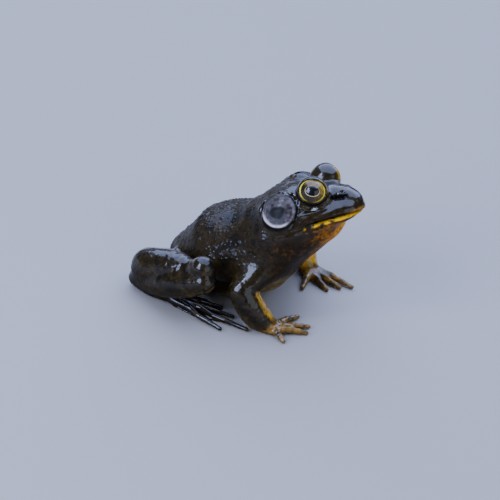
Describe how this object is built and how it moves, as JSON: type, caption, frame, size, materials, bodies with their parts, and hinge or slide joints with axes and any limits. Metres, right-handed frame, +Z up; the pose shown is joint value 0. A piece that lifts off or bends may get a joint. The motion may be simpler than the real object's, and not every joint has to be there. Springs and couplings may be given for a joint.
{
  "type": "bullfrog",
  "caption": "Adult American bullfrog sitting up on its forelegs with its hind legs folded beside it: dark wet skin, gold-ringed eyes, large eardrums and a yellow throat.",
  "frame": {"origin": "on the floor, under the middle of the animal's bounding box", "axes": "+X towards the snout, +Y towards the animal's left side, +Z up"},
  "size_m": [0.1028, 0.1116, 0.0796],
  "materials": {
    "skin": "wet, glossy, olive-brown with a yellow throat",
    "eye": "wet, gold-ringed iris with a dark pupil",
    "eardrum": "smooth wet membrane, grey with a dark middle"
  },
  "bodies": {
    "root": {"head": "skin", "lower_jaw": "skin", "trunk": "skin", "upper_arm_right": "skin", "forearm_right": "skin", "hand_right": "skin", "thigh_right": "skin", "shank_right": "skin", "foot_right": "skin", "upper_arm_left": "skin", "forearm_left": "skin", "hand_left": "skin", "thigh_left": "skin", "shank_left": "skin", "foot_left": "skin", "eye_right": "eye", "eye_left": "eye", "tympanum_right": "eardrum", "tympanum_left": "eardrum"}
  },
  "joints": []
}
